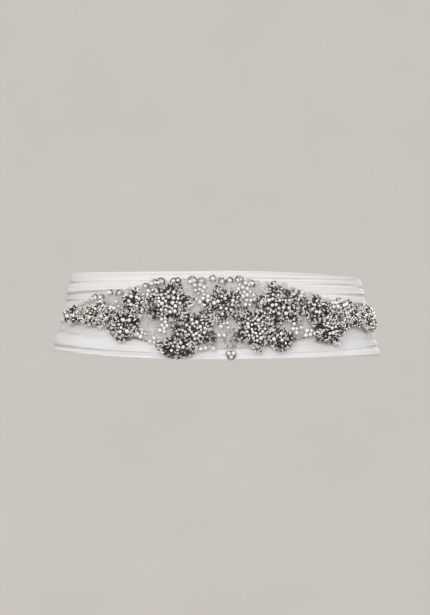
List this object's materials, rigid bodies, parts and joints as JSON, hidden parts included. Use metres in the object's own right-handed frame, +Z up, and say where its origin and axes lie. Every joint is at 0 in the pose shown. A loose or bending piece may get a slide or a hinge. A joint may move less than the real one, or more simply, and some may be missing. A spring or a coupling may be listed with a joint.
{
  "type": "bridal sash",
  "caption": "Gathered chiffon sash that wraps a waist and laps at the centre back, with a long spindle-shaped beaded flower applique on net across its front.",
  "frame": {"origin": "middle of the wearer's waist, about halfway up the front of the band", "axes": "+Z up along the body, -Y out of the front where the applique is, +X to the viewer's right"},
  "size_m": [0.2831, 0.2058, 0.0745],
  "materials": {
    "chiffon": "soft matt ivory chiffon",
    "net": "fine blush net",
    "silver_beads": "silver-lined glass bugle and seed beads",
    "pearls": "ivory imitation pearl"
  },
  "bodies": {
    "root": {"sash_front": "chiffon", "sash_back_left": "chiffon", "sash_back_right": "chiffon", "end_binding_over": "chiffon", "end_binding_under": "chiffon", "applique_net": "net", "spray_left_tip": "silver_beads", "bloom_left_outer": "silver_beads", "bloom_left_low": "silver_beads", "bloom_left_high": "silver_beads", "bloom_left_large": "silver_beads", "bloom_left_centre": "silver_beads", "leaf_left": "silver_beads", "bloom_centre": "silver_beads", "bloom_right_centre": "silver_beads", "leaf_right": "silver_beads", "bloom_right_large": "silver_beads", "bloom_right_high": "silver_beads", "bloom_right_low": "silver_beads", "bloom_right_outer": "silver_beads", "spray_right_tip": "silver_beads", "pearl_drop": "pearls"}
  },
  "joints": []
}
